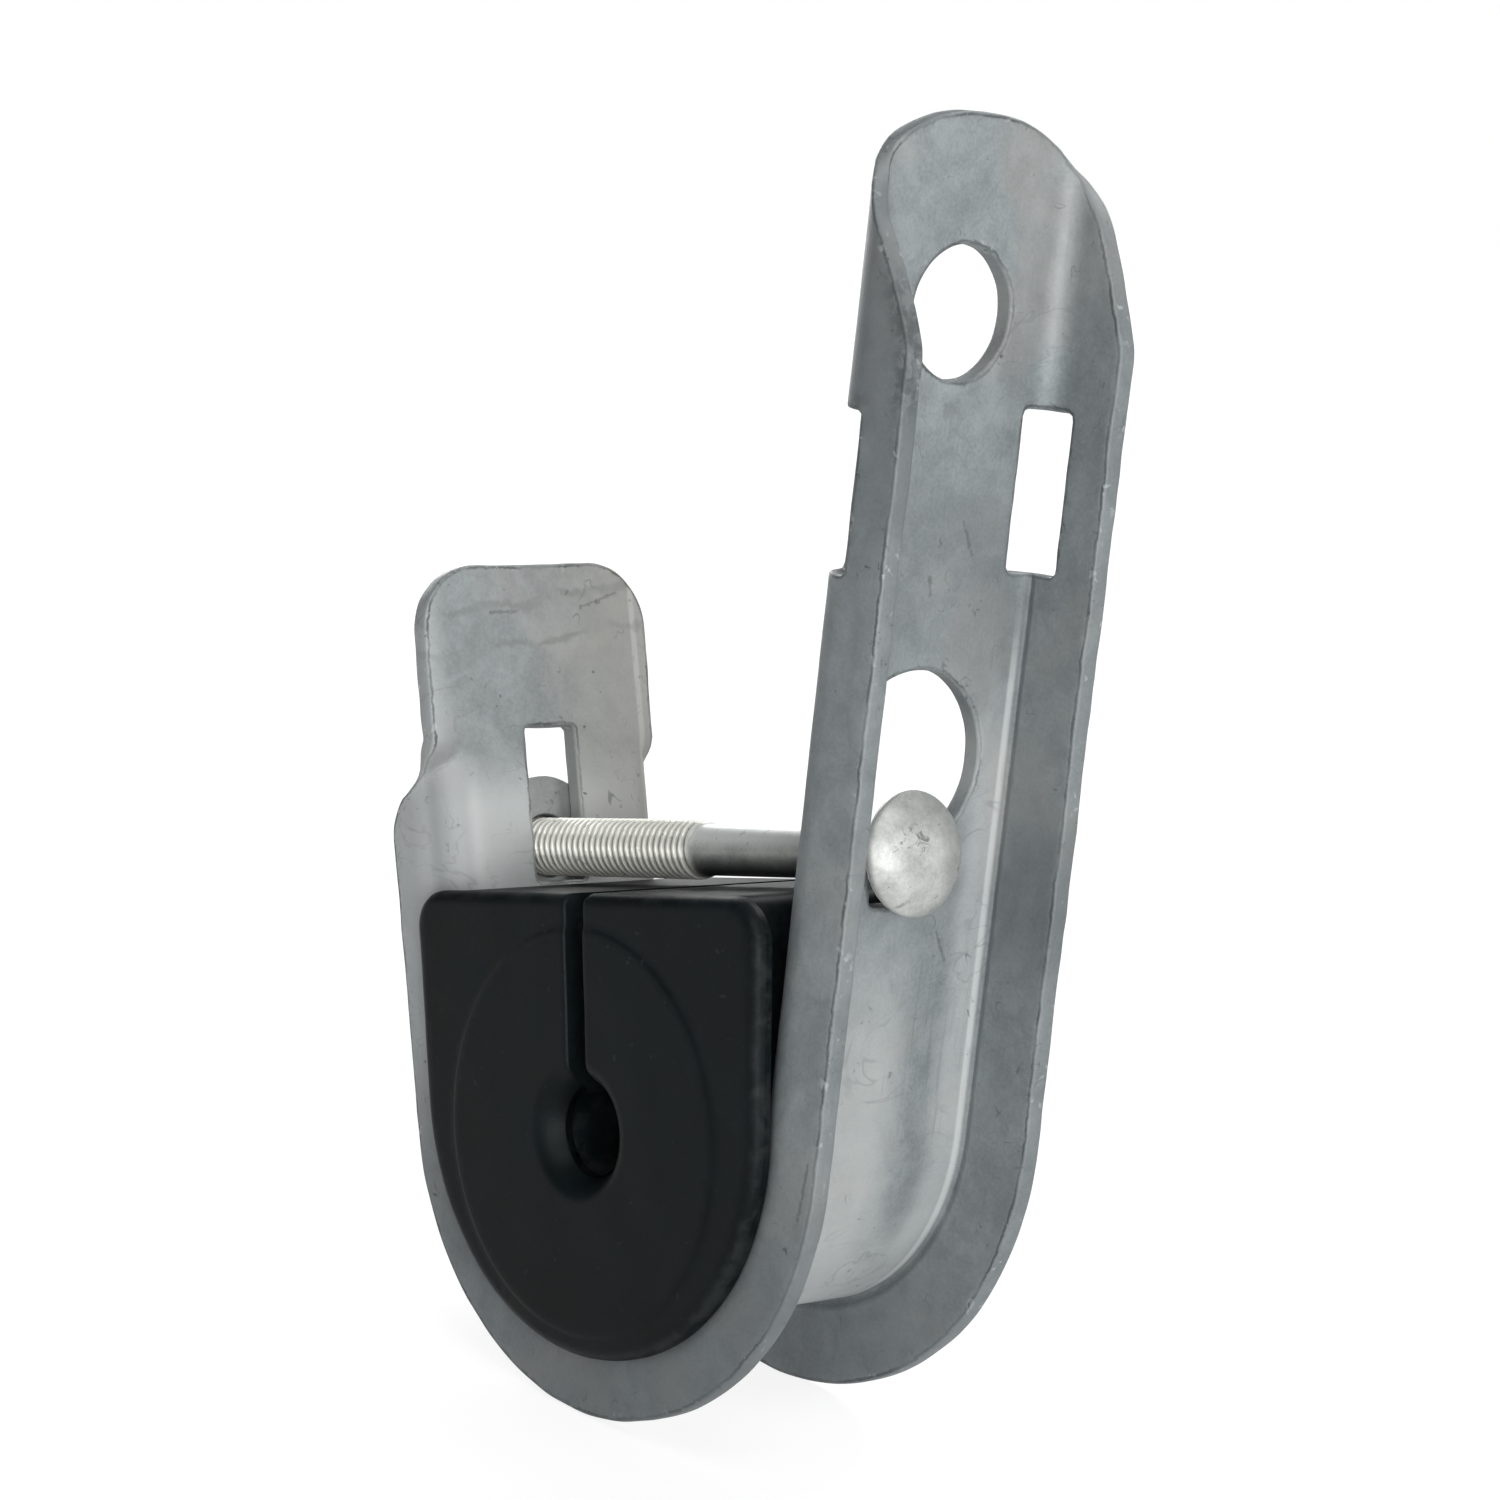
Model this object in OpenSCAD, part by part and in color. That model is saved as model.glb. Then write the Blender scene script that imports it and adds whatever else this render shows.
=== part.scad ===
// J-hanger for an aerial cable: a pressed channel hook, a moulded rubber insert and a clamp bolt.
// Millimetres, +Z up. The origin is on the axis of the pole bolt hole, at the outer face of the web.
// The cable runs along Y. The long leg hangs down with its open channel side towards the pole at +X.
// Heights below are given from the axis of the hook's U bend, and the whole part is moved at the end.

/* [Sheet and channel] */
// Thickness of the galvanised sheet
sheet_t = 2.75; // [2:0.05:4]
// Width of the channel over both flanges, along the cable
channel_w = 39.8; // [34:0.1:50]
// Outside radius of the bend between web and flange
bend_r = 6; // [4:0.5:8]
// Radius of the U bend, measured to the inner face of the web
hook_r = 28.3; // [24:0.1:36]
// Height of a flange on the long leg, from the inner face of the web to the flange edge
flange_h = 14.5; // [11:0.1:20]
// How much lower the flanges are on the short leg
flange_drop = 1.8; // [0:0.1:3]

/* [Long leg] */
// Height where the flanges begin to taper towards the rounded end
taper_start = 103.9; // [99:0.1:112]
// Height where the taper meets the outer face of the web
taper_end = 123.5; // [115:0.1:128]
// Radius of the slightly bowed taper edge
taper_bow = 110; // [60:1:300]
// Height of the rounded top end
leg_top = 132.8; // [125:0.1:150]
// Radius of the rounded top end
end_r = 23; // [21:0.5:30]
// Height of the upper pole bolt hole
pole_hole_z = 107.9; // [100:0.1:112]
// Diameter of the upper pole bolt hole
pole_hole_d = 17.5; // [12:0.1:20]
// Lower edge of the two strap slots
strap_z = 75; // [66:0.5:80]
// Height of a strap slot, for a 20 mm band
strap_h = 21.2; // [15:0.1:22]
// Depth of a strap slot into the web, from the outside of the channel
strap_in = 6.7; // [4:0.1:9]
// Depth of a strap slot into the flange, from the inner face of the web
strap_up = 7.3; // [5:0.1:10]

/* [Keyhole] */
// Height of the round part of the keyhole
key_z = 50.3; // [46:0.1:56]
// Diameter of the round part, through which the bolt head passes
key_d = 24; // [20:0.1:26]
// Width of the square seat below it
seat_w = 9; // [8.4:0.1:11]
// Height of the bottom of the square seat
seat_z = 31.5; // [29:0.1:33]

/* [Short leg] */
// Outward lean of the short leg from the upright
leg_lean = 17; // [10:0.5:22]
// Length along the short leg from the U axis to the top of the tab
tab_top = 75.8; // [68:0.1:90]
// Width of the flat tab
tab_w = 40.2; // [36:0.1:50]
// Corner radius of the tab
tab_r = 9; // [4:0.5:14]
// Distance along the leg where the tab begins to narrow into the channel
tab_foot = 50; // [47:0.5:56]
// Distance along the leg where the flanges end in a rounded shoulder
shoulder_s = 43.6; // [40:0.1:47]
// Radius of the rounded flange shoulder
shoulder_r = 4; // [2:0.5:6]
// Width of the upright bolt slot
slot_w = 8.8; // [8.4:0.1:11]
// Lower end of the bolt slot, along the leg
slot_low = 30.2; // [28:0.1:30.4]
// Upper end of the bolt slot, along the leg
slot_high = 52.2; // [46:0.1:60]

/* [Insert] */
// Tilt of the insert and the clamp bolt, following the leaning short leg
clamp_tilt = 11.5; // [5:0.5:12]
// Gap between the insert and the web
insert_gap = 0.1; // [0.05:0.05:0.5]
// Gap between the insert's lips and the flanges
lip_gap = 0.15; // [0.05:0.05:1]
// Half angle of the insert's wedge sides
wedge = 3.2; // [1:0.1:5]
// Height of the insert's top above the U axis, square to its tilt
insert_top = 26.8; // [20:0.1:27]
// Length of the insert along the cable
insert_l = 46; // [43:0.5:60]
// How far a lip reaches beyond the inner face of the web
lip_over = 6.4; // [4:0.1:10]
// Corner radius at the top of a lip
lip_r = 6; // [3:0.5:9]
// Distance of the cable bore below the U axis
bore_drop = 4.5; // [0:0.1:10]
// Diameter of the cable bore
bore_d = 12; // [6:0.1:16]
// Diameter of the flared bore mouth
mouth_d = 17.4; // [13:0.1:22]
// Depth of the flare
mouth_l = 3.7; // [1:0.1:8]
// Width of the slit from the top down to the bore
slit_w = 3.5; // [1:0.1:5]
// Radius of the fine ring line on both faces
ring_r = 27; // [20:0.1:28]
// Depth of the ring line, and half of its width
ring_t = 0.35; // [0.2:0.05:0.6]

/* [Clamp bolt] */
// Height of the bolt axis above the U axis
bolt_z = 32.4; // [32:0.1:36]
// Thread diameter
thread_d = 8; // [6:1:8]
// Diameter of the reduced shank
shank_d = 7.1; // [5:0.05:7.9]
// Length of bolt under the head
bolt_l = 90; // [86:1:100]
// Length of the thread
thread_l = 49; // [40:1:56]
// Length of the square neck
neck_l = 5; // [4:0.1:6]
// Diameter of the cup head
head_d = 16.8; // [14:0.1:20]
// Thickness of the head's straight rim
rim_h = 1.2; // [0.8:0.1:2]
// Height of the domed part of the head
dome_h = 3.2; // [2:0.1:5]
// Chamfer at the thread's end
end_c = 0.8; // [0.5:0.1:1.2]

/* [Nut and washer] */
// Outside diameter of the washer
washer_d = 20; // [16:0.5:24]
// Bore of the washer
washer_bore = 9; // [8.8:0.1:10]
// Thickness of the washer
washer_t = 2; // [1.4:0.1:2.5]
// Width of the nut across flats
nut_af = 13; // [12:0.5:14]
// Height of the nut
nut_h = 6.5; // [5:0.1:8]
// Radial running clearance between nut and thread
nut_fit = 0.07; // [0.05:0.01:0.1]

/* [Hidden] */
$fn = 96;
cut = 1;
bend_in = bend_r - sheet_t;
half_w = channel_w / 2;
web_out = hook_r + sheet_t;
tip_r = hook_r + flange_h;
// The flange edge on the short leg is an arc about a point below the U axis, tangent to the leg
tip_left = tip_r - flange_drop;
arc_drop = flange_drop / (1 - sin(leg_lean));
tip_arc_r = tip_r - arc_drop;
// The short leg's root is this much thinner on each face, and reaches this far into the bend
shave_t = 0.03;
root_l = 1;
// Centre of the bowed taper edge
bow_dx = tip_r - web_out;
bow_dz = taper_end - taper_start;
bow_c = sqrt(bow_dx * bow_dx + bow_dz * bow_dz);
bow_n = sqrt(taper_bow * taper_bow - bow_c * bow_c / 4);
bow_x = (tip_r + web_out) / 2 - bow_n * bow_dz / bow_c;
bow_z = (taper_start + taper_end) / 2 - bow_n * bow_dx / bow_c;
// Insert and lips
core_r = hook_r - insert_gap;
lip_out = hook_r + lip_over;
lip_in_y = half_w + lip_gap;
flare = (mouth_d - bore_d) / 2 / mouth_l;
// Bolt axis: head edge just touches the web, so the underside stands off by the tilt
skin = 0.02;
head_b = (web_out + skin + head_d / 2 * sin(clamp_tilt)) / cos(clamp_tilt);
thread_b = head_b - bolt_l + thread_l;
end_b = head_b - bolt_l;
// Where the bolt axis meets the washer, in the short leg's own frame
turn = leg_lean - clamp_tilt;
washer_n = web_out + skin;
mid_n = washer_n + washer_t / 2;
axis_n0 = -bolt_z * sin(leg_lean);
axis_s0 = bolt_z * cos(leg_lean);
washer_b = -(mid_n - axis_n0) / cos(turn);
washer_s = axis_s0 - washer_b * sin(turn);
nut_face_r = nut_af / 2 * 0.95;
nut_b = -((washer_n + washer_t + skin - axis_n0) / cos(turn) + nut_face_r * tan(turn));

// Moves a piece from the U axis to the part's own origin at the pole bolt hole
module at_pole_hole()
    translate([-web_out, 0, -pole_hole_z]) children();

// Turns the side view (x, z) into a solid slab centred on the cable direction
module side_slab(width)
    rotate([90, 0, 0]) linear_extrude(height = width, center = true) children();

// Own frame of the short leg: X is the distance out from the U axis, Z runs up the leg
module short_frame()
    rotate([0, -leg_lean, 0]) mirror([1, 0, 0]) children();

// Own frame of the clamp bolt: X runs along the bolt towards the head
module bolt_frame()
    translate([0, 0, bolt_z]) rotate([0, -clamp_tilt, 0]) children();

// Cross section of the channel before its flanges are trimmed, X from the U axis outwards.
// The shave thins it all round, so that the short leg's root sits inside the bend.
module channel_section(shave)
    translate([hook_r, 0]) difference() {
        section_block(shave, bend_r - shave, flange_h + cut);
        section_block(sheet_t - shave, bend_in + shave, flange_h + 2 * cut);
    }

// Block with two rounded corners, set in by the given amount from the outside of the channel
module section_block(inset, corner, depth) {
    translate([inset, -(half_w - bend_r)]) square([depth - inset, channel_w - 2 * bend_r]);
    translate([bend_r, -(half_w - inset)]) square([depth - bend_r, channel_w - 2 * inset]);
    for (side = [-1, 1]) translate([bend_r, side * (half_w - bend_r)]) circle(r = corner);
}

// Side view of the long leg and the bend, with flange edges and taper
module side_outline() {
    intersection() {
        circle(r = tip_r);
        translate([0, -2 * tip_r]) square([2 * tip_r, 2 * tip_r]);
    }
    translate([0, -cut]) square([tip_r, taper_start + cut]);
    translate([0, -cut]) square([web_out, leg_top + 2 * cut]);
    intersection() {
        translate([bow_x, bow_z]) circle(r = taper_bow, $fn = 360);
        translate([0, taper_start - bend_r]) square([tip_r, leg_top]);
    }
    intersection() {
        translate([0, -arc_drop]) circle(r = tip_arc_r);
        translate([-2 * tip_r, -2 * tip_r]) square([2 * tip_r, 2 * tip_r + hook_r]);
    }
}

// Side view of the short leg in its own frame, with the rounded flange shoulder
module short_outline() {
    tip = tip_left - shave_t;
    flat = web_out - shave_t;
    translate([0, -2 * root_l]) square([tip, shoulder_s - shoulder_r + 2 * root_l]);
    translate([0, shoulder_s - 2 * shoulder_r]) square([tip - shoulder_r, 2 * shoulder_r]);
    translate([tip - shoulder_r, shoulder_s - shoulder_r]) circle(r = shoulder_r);
    translate([0, -2 * root_l]) square([flat, tab_top + 4 * root_l]);
    difference() {
        translate([flat - cut, shoulder_s - cut]) square([shoulder_r + cut, shoulder_r + cut]);
        translate([flat + shoulder_r, shoulder_s + shoulder_r]) circle(r = shoulder_r);
    }
}

// Front view of the flat tab, Y across, Z up the leg
module tab_outline() {
    translate([-tab_w / 2, tab_foot]) square([tab_w, tab_top - tab_r - tab_foot]);
    translate([-(tab_w / 2 - tab_r), tab_foot]) square([tab_w - 2 * tab_r, tab_top - tab_foot]);
    for (side = [-1, 1])
        translate([side * (tab_w / 2 - tab_r), tab_top - tab_r]) circle(r = tab_r);
    polygon([[-tab_w / 2, tab_foot], [-(half_w - bend_r / 2), shoulder_s],
        [half_w - bend_r / 2, shoulder_s], [tab_w / 2, tab_foot]]);
}

// Front view of the long leg with its rounded end, wider than the channel below the end
module leg_outline() {
    translate([-half_w - cut, -2 * tip_r]) square([channel_w + 2 * cut, leg_top - end_r + 2 * tip_r]);
    intersection() {
        translate([0, leg_top - end_r]) circle(r = end_r);
        translate([-half_w - cut, leg_top - end_r - cut]) square([channel_w + 2 * cut, 2 * end_r]);
    }
}

// Long leg and U bend in one trimmed channel
module hook_body() intersection() {
    union() {
        linear_extrude(height = leg_top) channel_section(0);
        rotate([-90, 0, 0]) rotate_extrude(angle = 180 - leg_lean) channel_section(0);
    }
    side_slab(channel_w + 2 * cut) side_outline();
    rotate([90, 0, 90]) linear_extrude(height = 4 * tip_r, center = true) leg_outline();
}

// Short leg in its own frame: channel, shoulder and flat tab, with the bolt slot
module short_body() difference() {
    union() {
        intersection() {
            translate([0, 0, -root_l]) linear_extrude(height = tab_foot + root_l)
                channel_section(shave_t);
            side_slab(channel_w + 2 * cut) short_outline();
        }
        translate([hook_r + shave_t, 0, 0]) rotate([90, 0, 90])
            linear_extrude(height = sheet_t - 2 * shave_t) tab_outline();
    }
    translate([hook_r - cut, -slot_w / 2, slot_low])
        cube([sheet_t + 2 * cut, slot_w, slot_high - slot_low]);
}

module hook() color([0.62, 0.64, 0.65]) at_pole_hole() {
    difference() {
        hook_body();
        translate([hook_r - cut, 0, pole_hole_z]) rotate([0, 90, 0])
            cylinder(h = sheet_t + 2 * cut, d = pole_hole_d);
        translate([hook_r - cut, 0, key_z]) rotate([0, 90, 0])
            cylinder(h = sheet_t + 2 * cut, d = key_d);
        translate([hook_r - cut, -seat_w / 2, seat_z])
            cube([sheet_t + 2 * cut, seat_w, key_z - seat_z]);
        for (side = [0, 1]) mirror([0, side, 0])
            translate([hook_r - cut, half_w - strap_in, strap_z])
                cube([strap_up + cut, strap_in + cut, strap_h]);
    }
    short_frame() short_body();
}

// Wedge outline of the insert: a round bottom, leaning sides and rounded top corners
// The straight edges lie a skin inside the arcs, so that the arcs cross them cleanly.
module wedge_outline(r, corner) {
    top_u = ((r - corner) + (insert_top - corner) * sin(wedge)) / cos(wedge);
    low = [(r - skin) * cos(wedge), -(r - skin) * sin(wedge)];
    inner = corner - skin;
    side = [top_u + inner * cos(wedge), insert_top - corner - inner * sin(wedge)];
    top = insert_top - skin;
    intersection() {
        circle(r = r);
        translate([-r, -r]) square([2 * r, r + insert_top / 2]);
    }
    polygon([low, side, [top_u, top], [-top_u, top], [-side[0], side[1]], [-low[0], low[1]]]);
    for (hand = [-1, 1]) translate([hand * top_u, insert_top - corner]) circle(r = corner);
}

module insert() color([0.09, 0.1, 0.1]) at_pole_hole() rotate([0, -clamp_tilt, 0]) difference() {
    union() {
        side_slab(2 * lip_in_y) wedge_outline(core_r, 2);
        for (side = [-1, 1]) translate([0, side * (insert_l / 2 + lip_in_y) / 2, 0])
            side_slab(insert_l / 2 - lip_in_y) wedge_outline(lip_out, lip_r);
    }
    translate([0, 0, -bore_drop]) rotate([90, 0, 0]) {
        cylinder(h = insert_l + 2 * cut, d = bore_d, center = true);
        for (end = [0, 1]) mirror([0, 0, end]) translate([0, 0, insert_l / 2 - mouth_l - cut])
            cylinder(h = mouth_l + 2 * cut, r1 = bore_d / 2 - cut * flare, r2 = mouth_d / 2 + cut * flare);
    }
    translate([-slit_w / 2, -insert_l, -bore_drop])
        cube([slit_w, 2 * insert_l, insert_top + bore_drop + cut]);
    for (end = [0, 1]) mirror([0, end, 0]) translate([0, insert_l / 2 - ring_t, -bore_drop])
        rotate([-90, 0, 0]) difference() {
            cylinder(h = ring_t + cut, r = ring_r + ring_t);
            translate([0, 0, -cut]) cylinder(h = ring_t + 3 * cut, r = ring_r - ring_t);
        }
}

module clamp_bolt() color([0.72, 0.73, 0.73]) at_pole_hole() bolt_frame() {
    dome_r = (head_d * head_d / 4 + dome_h * dome_h) / (2 * dome_h);
    translate([head_b, 0, 0]) rotate([0, 90, 0]) intersection() {
        cylinder(h = rim_h + dome_h + cut, d = head_d);
        translate([0, 0, rim_h + dome_h - dome_r]) sphere(r = dome_r);
    }
    translate([head_b - neck_l, -thread_d / 2, -thread_d / 2])
        cube([neck_l + rim_h / 2, thread_d, thread_d]);
    translate([thread_b - cut, 0, 0]) rotate([0, 90, 0])
        cylinder(h = head_b - neck_l / 2 - thread_b + cut, d = shank_d);
    translate([end_b, 0, 0]) rotate([0, 90, 0]) intersection() {
        cylinder(h = thread_l, d = thread_d);
        cylinder(h = thread_l, r1 = thread_d / 2 - end_c, r2 = thread_d / 2 - end_c + thread_l);
    }
}

module washer() color([0.68, 0.69, 0.69]) at_pole_hole() short_frame()
    translate([washer_n, 0, washer_s]) rotate([0, 90, 0]) difference() {
        cylinder(h = washer_t, d = washer_d);
        translate([0, 0, -cut]) cylinder(h = washer_t + 2 * cut, d = washer_bore);
    }

module nut() color([0.66, 0.67, 0.67]) at_pole_hole() bolt_frame()
    translate([nut_b - nut_h, 0, 0]) rotate([0, 90, 0]) difference() {
        intersection() {
            cylinder(h = nut_h, d = nut_af / cos(30), $fn = 6);
            union() {
                cylinder(h = nut_h / 2, r1 = nut_face_r, r2 = nut_face_r + nut_h);
                translate([0, 0, nut_h / 2])
                    cylinder(h = nut_h / 2, r1 = nut_face_r + nut_h, r2 = nut_face_r);
            }
        }
        translate([0, 0, -cut]) cylinder(h = nut_h + 2 * cut, d = thread_d + 2 * nut_fit);
    }

hook();
insert();
clamp_bolt();
washer();
nut();
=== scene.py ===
import math

import bmesh
import bpy
import numpy as np
from mathutils import Matrix, Vector, noise
from mathutils.geometry import delaunay_2d_cdt


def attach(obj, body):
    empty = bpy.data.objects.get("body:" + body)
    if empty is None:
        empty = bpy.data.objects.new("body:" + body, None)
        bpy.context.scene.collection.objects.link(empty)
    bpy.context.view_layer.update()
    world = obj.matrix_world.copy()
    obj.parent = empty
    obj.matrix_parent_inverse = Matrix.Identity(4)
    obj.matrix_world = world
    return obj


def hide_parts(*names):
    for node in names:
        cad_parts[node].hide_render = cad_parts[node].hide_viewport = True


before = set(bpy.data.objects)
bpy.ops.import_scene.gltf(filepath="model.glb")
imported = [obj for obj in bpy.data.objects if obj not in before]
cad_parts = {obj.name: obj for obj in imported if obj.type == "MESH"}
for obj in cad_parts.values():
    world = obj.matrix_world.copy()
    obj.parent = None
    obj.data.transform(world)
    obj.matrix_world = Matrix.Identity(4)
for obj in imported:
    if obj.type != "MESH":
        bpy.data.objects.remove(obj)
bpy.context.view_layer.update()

# All sizes are in millimetres. Heights run from the axis of the hook's U bend, as in the part's source.
# A point (x, y, z) of that frame is moved to the part's own origin, the pole bolt hole, by place().
SHEET = 2.75
HALF_W = 19.9
BEND_R = 6.0
HOOK_R = 28.3
FLANGE_H = 14.5
FLANGE_DROP = 1.8
TAPER_START = 103.9
LEG_TOP = 132.8
END_R = 23.0
POLE_HOLE_Z = 107.9
POLE_HOLE_R = 8.75
STRAP_LOW, STRAP_HIGH = 75.0, 96.2
STRAP_IN, STRAP_UP = 6.7, 7.3
KEY_Z, KEY_R = 50.3, 12.0
SEAT_HALF, SEAT_LOW = 4.5, 31.5
LEAN = math.radians(17)
TAB_TOP, TAB_HALF, TAB_R = 75.8, 20.1, 9.0
SLOT_HALF, SLOT_LOW, SLOT_HIGH = 4.4, 30.2, 52.2
CLAMP_TILT = math.radians(11.5)
BOLT_Z = 32.4
WEB_OUT = HOOK_R + SHEET
MID_R = HOOK_R + SHEET / 2
BEND_MID = BEND_R - SHEET / 2
FLAT_HALF = HALF_W - BEND_R


def place(points):
    """Points in millimetres from the U axis, as points in metres from the pole bolt hole."""
    return (np.asarray(points, float) - (WEB_OUT, 0, POLE_HOLE_Z)) / 1000


def clamp_place(points):
    """Points of the tilted clamp, X along the bolt from the middle of the U, in the part's frame."""
    p = np.asarray(points, float)
    c, s = math.cos(CLAMP_TILT), math.sin(CLAMP_TILT)
    return place(np.stack([p[:, 0] * c - p[:, 2] * s, p[:, 1], p[:, 0] * s + p[:, 2] * c], 1))


def new_piece(name, points, faces, finish, body, stands_for, smooth_angle=35, measures=None):
    """A mesh piece that rides on a body, stands for a solid and shades smooth below the angle.

    The measures are numbers at the points, by name, that the finish reads."""
    used = sorted({int(i) for f in faces for i in f})
    number = {old: new for new, old in enumerate(used)}
    mesh = bpy.data.meshes.new(name)
    mesh.from_pydata([tuple(points[i]) for i in used], [], [tuple(number[int(i)] for i in f) for f in faces])
    mesh.update()
    for measure, values in (measures or {}).items():
        layer = mesh.attributes.new(measure, "FLOAT", "POINT")
        layer.data.foreach_set("value", np.asarray(values, np.float32)[used])
    piece = bpy.data.objects.new(name, mesh)
    bpy.context.scene.collection.objects.link(piece)
    mesh.materials.append(finish)
    mesh.shade_smooth()
    mesh.set_sharp_from_angle(angle=math.radians(smooth_angle))
    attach(piece, body)
    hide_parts(stands_for)
    return piece


# ---- Shader maths

def paint(red, green, blue):
    """A colour as seen on screen, 0 to 255, in the linear values that the shader wants."""
    return tuple(((c / 255 + 0.055) / 1.055) ** 2.4 if c > 10 else c / 3294 for c in (red, green, blue)) + (1.0,)


class Shade:
    """One socket of a finish; arithmetic on it adds Math nodes."""

    def __init__(self, finish, socket):
        self.finish, self.socket = finish, socket

    def math(self, operation, *values, clamp=False):
        return self.finish.node("ShaderNodeMath", {"operation": operation, "use_clamp": clamp}, dict(enumerate(values)))

    def __add__(self, other):
        return self.math("ADD", self, other)

    def __sub__(self, other):
        return self.math("SUBTRACT", self, other)

    def __rsub__(self, other):
        return self.math("SUBTRACT", other, self)

    def __mul__(self, other):
        return self.math("MULTIPLY", self, other)

    def __truediv__(self, other):
        return self.math("DIVIDE", self, other)

    __radd__, __rmul__ = __add__, __mul__

    def clamped(self):
        return self.math("ADD", self, 0.0, clamp=True)

    def magnitude(self):
        return self.math("ABSOLUTE", self)

    def least(self, other):
        return self.math("MINIMUM", self, other)

    def most(self, other):
        return self.math("MAXIMUM", self, other)

    def step(self, low, high, start=0.0, end=1.0):
        """Rises smoothly from start to end as the value goes from low to high."""
        return self.finish.node(
            "ShaderNodeMapRange", {"interpolation_type": "SMOOTHSTEP"},
            {"Value": self, "From Min": low, "From Max": high, "To Min": start, "To Max": end})


class Finish:
    """A procedural material."""

    def __init__(self, name):
        self.material = bpy.data.materials.new(name)
        self.material.use_nodes = True
        self.tree = self.material.node_tree
        self.tree.nodes.clear()

    def node(self, kind, settings=None, values=None, out=0):
        """Adds a node: its settings first, then the values or links of its sockets."""
        made = self.tree.nodes.new(kind)
        for key, value in (settings or {}).items():
            if key == "stops":
                ramp = made.color_ramp
                while len(ramp.elements) < len(value):
                    ramp.elements.new(0.5)
                for element, (at, colour) in zip(ramp.elements, value):
                    element.position, element.color = at, colour
            else:
                setattr(made, key, value)
        for key, value in (values or {}).items():
            if isinstance(value, Shade):
                self.tree.links.new(value.socket, made.inputs[key])
            else:
                made.inputs[key].default_value = value
        return Shade(self, made.outputs[out]) if made.outputs else made

    def object_mm(self):
        """Object coordinates in millimetres."""
        point = self.node("ShaderNodeTexCoord", out="Object")
        return self.node("ShaderNodeVectorMath", {"operation": "MULTIPLY"}, {0: point, 1: (1000, 1000, 1000)})

    def measure(self, name):
        """A number that the piece's points carry."""
        return self.node("ShaderNodeAttribute", {"attribute_name": name}, out="Fac")

    def part_of(self, point, axis):
        return self.node("ShaderNodeSeparateXYZ", {}, {0: point}, out=axis)

    def shift(self, point, by):
        return self.node("ShaderNodeVectorMath", {"operation": "ADD"}, {0: point, 1: by})

    def stretch(self, point, along):
        return self.node("ShaderNodeVectorMath", {"operation": "MULTIPLY"}, {0: point, 1: along})

    def grain(self, point, size, detail=3.0, rough=0.55, twist=0.0, offset=0.0):
        """Noise whose features are about size millimetres across, around 0.5."""
        if offset:
            point = self.shift(point, (offset, offset, offset))
        return self.node(
            "ShaderNodeTexNoise", {"noise_dimensions": "3D"},
            {"Vector": point, "Scale": 1 / size, "Detail": detail, "Roughness": rough, "Distortion": twist})

    def stroke(self, point, start, end, width, ragged=0.0):
        """A short mark between two places: 1 on it, 0 away from it."""
        run = Vector(end) - Vector(start)
        away = self.shift(point, tuple(-Vector(start)))
        share = self.node("ShaderNodeVectorMath", {"operation": "DOT_PRODUCT"},
                          {0: away, 1: tuple(run / run.length_squared)}, out="Value").clamped()
        along = self.node("ShaderNodeVectorMath", {"operation": "SCALE"}, {0: tuple(run), "Scale": share})
        gap = self.node("ShaderNodeVectorMath", {"operation": "DISTANCE"}, {0: away, 1: along}, out="Value")
        return (gap + ragged).step(width, width * 0.35)

    def marks(self, point, lines, width, ragged=0.0):
        """Several strokes as one factor."""
        found = 0.0
        for start, end in lines:
            found = self.stroke(point, start, end, width, ragged).most(found)
        return found

    def blend(self, factor, first, second, way="MIX"):
        return self.node(
            "ShaderNodeMix", {"data_type": "RGBA", "blend_type": way},
            {0: factor, 6: first, 7: second}, out=2)

    def close(self, **sockets):
        """Ends the material in one surface shader."""
        surface = self.node("ShaderNodeBsdfPrincipled", {}, {k.replace("_", " "): v for k, v in sockets.items()})
        self.node("ShaderNodeOutputMaterial", {}, {"Surface": surface})
        return self.material


def clouds(f, p, patch):
    """Mottled tone of dipped zinc: cloudy patches, blotches and a fine sandy grain, about 0 to 1."""
    cloud = f.grain(p, patch, 4.0, 0.58, 0.8)
    blotch = f.grain(p, 2.6, 3.0, 0.6, 0.5, 40.0)
    sand = f.grain(p, 0.5, 2.0, 0.6, 0.0, 80.0)
    tone = cloud.step(0.32, 0.7) * 0.42 + blotch.step(0.28, 0.74) * 0.3 + sand.step(0.3, 0.72) * 0.28
    return tone.clamped(), cloud, blotch, sand


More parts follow.
